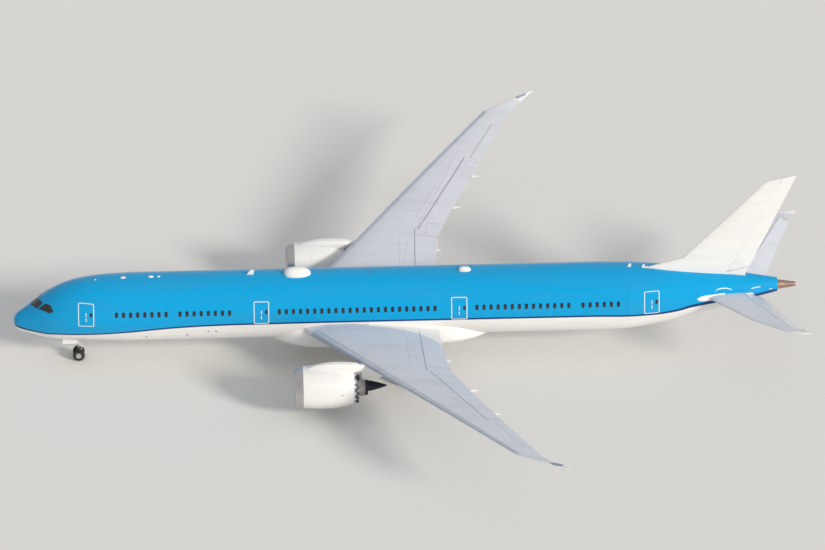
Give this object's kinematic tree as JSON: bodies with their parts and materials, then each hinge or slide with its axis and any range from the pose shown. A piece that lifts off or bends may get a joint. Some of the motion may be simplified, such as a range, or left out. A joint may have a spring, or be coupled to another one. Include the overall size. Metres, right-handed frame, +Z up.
{
  "type": "wide body airliner scale model",
  "caption": "Half size scale model of a wide body airliner on its landing gear, with turning wheels and fans, nose steering, control surfaces, flaps, spoilers and cargo doors.",
  "frame": {"origin": "on the ground, below the middle of the bounding box", "axes": "+X aft from the nose to the tail, +Y to starboard (the right side as the crew sits), +Z up"},
  "size_m": [34.14, 30.06, 8.51],
  "materials": {
    "sky_blue_paint": "gloss",
    "white_paint": "gloss",
    "grey_paint": "satin",
    "gear_paint": "satin",
    "fan_blade": "satin",
    "cockpit_glass": "gloss",
    "bare_aluminium": "polished",
    "hot_section_metal": "satin",
    "tyre": "matte"
  },
  "bodies": {
    "airframe": {"passenger_door_1_starboard": "sky_blue_paint", "passenger_door_1_port": "sky_blue_paint", "passenger_door_2_starboard": "sky_blue_paint", "passenger_door_2_port": "sky_blue_paint", "passenger_door_3_starboard": "sky_blue_paint", "passenger_door_3_port": "sky_blue_paint", "passenger_door_4_starboard": "sky_blue_paint", "passenger_door_4_port": "sky_blue_paint", "radome": "sky_blue_paint", "nose_section": "sky_blue_paint", "forward_fuselage": "sky_blue_paint", "centre_fuselage": "sky_blue_paint", "aft_fuselage": "sky_blue_paint", "tail_section": "sky_blue_paint", "wing_body_fairing": "white_paint", "fin": "white_paint", "cockpit_glass": "cockpit_glass", "exhaust_cone": "bare_aluminium", "wing_starboard": "grey_paint", "tailplane_starboard": "grey_paint", "inlet_lip_starboard": "bare_aluminium", "fan_cowl_starboard": "white_paint", "pylon_starboard": "white_paint", "engine_core_starboard": "hot_section_metal", "main_leg_starboard": "gear_paint", "wing_port": "grey_paint", "tailplane_port": "grey_paint", "inlet_lip_port": "bare_aluminium", "fan_cowl_port": "white_paint", "pylon_port": "white_paint", "engine_core_port": "hot_section_metal", "main_leg_port": "gear_paint", "nose_leg": "gear_paint"},
    "nose_steering": {"nose_steering": "gear_paint"},
    "nose_wheels": {"nose_wheels": "tyre"},
    "rudder": {"rudder": "white_paint"},
    "forward_cargo_door": {"forward_cargo_door": "white_paint"},
    "aft_cargo_door": {"aft_cargo_door": "white_paint"},
    "flaperon_starboard": {"flaperon_starboard": "grey_paint"},
    "aileron_starboard": {"aileron_starboard": "grey_paint"},
    "inboard_flap_starboard": {"inboard_flap_starboard": "grey_paint"},
    "outboard_flap_starboard": {"outboard_flap_starboard": "grey_paint"},
    "inboard_spoiler_starboard": {"inboard_spoiler_starboard": "grey_paint"},
    "outboard_spoiler_starboard": {"outboard_spoiler_starboard": "grey_paint"},
    "elevator_starboard": {"elevator_starboard": "grey_paint"},
    "fan_starboard": {"fan_starboard": "fan_blade"},
    "main_wheels_front_starboard": {"main_wheels_front_starboard": "tyre"},
    "main_wheels_rear_starboard": {"main_wheels_rear_starboard": "tyre"},
    "flaperon_port": {"flaperon_port": "grey_paint"},
    "aileron_port": {"aileron_port": "grey_paint"},
    "inboard_flap_port": {"inboard_flap_port": "grey_paint"},
    "outboard_flap_port": {"outboard_flap_port": "grey_paint"},
    "inboard_spoiler_port": {"inboard_spoiler_port": "grey_paint"},
    "outboard_spoiler_port": {"outboard_spoiler_port": "grey_paint"},
    "elevator_port": {"elevator_port": "grey_paint"},
    "fan_port": {"fan_port": "fan_blade"},
    "main_wheels_front_port": {"main_wheels_front_port": "tyre"},
    "main_wheels_rear_port": {"main_wheels_rear_port": "tyre"}
  },
  "joints": [
    {"name": "flaperon_starboard_hinge", "type": "hinge", "parent": "airframe", "child": "flaperon_starboard", "pos_m": [0.93, 5.325, 2.46], "axis": [0.209, 0.9703, 0.1222], "range_deg": [-15, 33]},
    {"name": "flaperon_port_hinge", "type": "hinge", "parent": "airframe", "child": "flaperon_port", "pos_m": [0.93, -5.325, 2.46], "axis": [-0.209, 0.9703, -0.1222], "range_deg": [-15, 33]},
    {"name": "aileron_starboard_hinge", "type": "hinge", "parent": "airframe", "child": "aileron_starboard", "pos_m": [3.14, 10.55, 3.08709], "axis": [0.4171, 0.9024, 0.108], "range_deg": [-20, 20]},
    {"name": "aileron_port_hinge", "type": "hinge", "parent": "airframe", "child": "aileron_port", "pos_m": [3.14, -10.55, 3.08709], "axis": [-0.4171, 0.9024, -0.108], "range_deg": [-20, 20]},
    {"name": "inboard_flap_starboard_hinge", "type": "hinge", "parent": "airframe", "child": "inboard_flap_starboard", "pos_m": [0.33, 1.825, 1.64258], "axis": [0.0376, 0.9916, 0.1234], "range_deg": [0, 30]},
    {"name": "inboard_flap_port_hinge", "type": "hinge", "parent": "airframe", "child": "inboard_flap_port", "pos_m": [0.33, -1.825, 1.64258], "axis": [-0.0376, 0.9916, -0.1234], "range_deg": [0, 30]},
    {"name": "outboard_flap_starboard_hinge", "type": "hinge", "parent": "airframe", "child": "outboard_flap_starboard", "pos_m": [0.93, 6.2, 2.27012], "axis": [0.41, 0.9054, 0.1101], "range_deg": [0, 30]},
    {"name": "outboard_flap_port_hinge", "type": "hinge", "parent": "airframe", "child": "outboard_flap_port", "pos_m": [0.93, -6.2, 2.27012], "axis": [-0.41, 0.9054, -0.1101], "range_deg": [0, 30]},
    {"name": "inboard_spoiler_starboard_hinge", "type": "hinge", "parent": "airframe", "child": "inboard_spoiler_starboard", "pos_m": [-0.295, 2.875, 2.37393], "axis": [-0.0456, -0.9915, -0.1215], "range_deg": [0, 60]},
    {"name": "inboard_spoiler_port_hinge", "type": "hinge", "parent": "airframe", "child": "inboard_spoiler_port", "pos_m": [-0.295, -2.875, 2.37393], "axis": [0.0456, -0.9915, 0.1215], "range_deg": [0, 60]},
    {"name": "outboard_spoiler_starboard_hinge", "type": "hinge", "parent": "airframe", "child": "outboard_spoiler_starboard", "pos_m": [0.56, 6.45, 2.76567], "axis": [-0.4129, -0.9047, -0.1051], "range_deg": [0, 60]},
    {"name": "outboard_spoiler_port_hinge", "type": "hinge", "parent": "airframe", "child": "outboard_spoiler_port", "pos_m": [0.56, -6.45, 2.76567], "axis": [0.4129, -0.9047, 0.1051], "range_deg": [0, 60]},
    {"name": "elevator_starboard_hinge", "type": "hinge", "parent": "airframe", "child": "elevator_starboard", "pos_m": [14.43, 0.725, 2.90258], "axis": [0.4352, 0.8891, 0.1421], "range_deg": [-45, 10]},
    {"name": "elevator_port_hinge", "type": "hinge", "parent": "airframe", "child": "elevator_port", "pos_m": [14.43, -0.725, 2.90258], "axis": [-0.4352, 0.8891, -0.1421], "range_deg": [-45, 10]},
    {"name": "rudder_hinge", "type": "hinge", "parent": "airframe", "child": "rudder", "pos_m": [13.705, 0, 3.65], "axis": [0.4396, 0, 0.8982], "range_deg": [-27, 27]},
    {"name": "forward_cargo_door_hinge", "type": "hinge", "parent": "airframe", "child": "forward_cargo_door", "pos_m": [-11.62, 1.39042, 2.25], "axis": [1, 0, 0], "range_deg": [0, 110]},
    {"name": "aft_cargo_door_hinge", "type": "hinge", "parent": "airframe", "child": "aft_cargo_door", "pos_m": [4.03, 1.39042, 2.25], "axis": [1, 0, 0], "range_deg": [0, 110]},
    {"name": "fan_starboard_spin", "type": "hinge", "parent": "airframe", "child": "fan_starboard", "pos_m": [-4.42, 4.925, 1.45], "axis": [1, 0, 0], "continuous": true},
    {"name": "main_wheels_front_starboard_roll", "type": "hinge", "parent": "airframe", "child": "main_wheels_front_starboard", "pos_m": [-0.215, 2.45, 0.33828], "axis": [0, 1, 0], "continuous": true},
    {"name": "main_wheels_rear_starboard_roll", "type": "hinge", "parent": "airframe", "child": "main_wheels_rear_starboard", "pos_m": [0.515, 2.45, 0.33828], "axis": [0, 1, 0], "continuous": true},
    {"name": "fan_port_spin", "type": "hinge", "parent": "airframe", "child": "fan_port", "pos_m": [-4.42, -4.925, 1.45], "axis": [1, 0, 0], "continuous": true},
    {"name": "main_wheels_front_port_roll", "type": "hinge", "parent": "airframe", "child": "main_wheels_front_port", "pos_m": [-0.215, -2.45, 0.33828], "axis": [0, 1, 0], "continuous": true},
    {"name": "main_wheels_rear_port_roll", "type": "hinge", "parent": "airframe", "child": "main_wheels_rear_port", "pos_m": [0.515, -2.45, 0.33828], "axis": [0, 1, 0], "continuous": true},
    {"name": "nose_steering_turn", "type": "hinge", "parent": "airframe", "child": "nose_steering", "pos_m": [-14.29, 0, 0.5], "axis": [0, 0, 1], "range_deg": [-70, 70]},
    {"name": "nose_wheels_roll", "type": "hinge", "parent": "nose_steering", "child": "nose_wheels", "pos_m": [-14.29, 0, 0.25433], "axis": [0, 1, 0], "continuous": true}
  ]
}
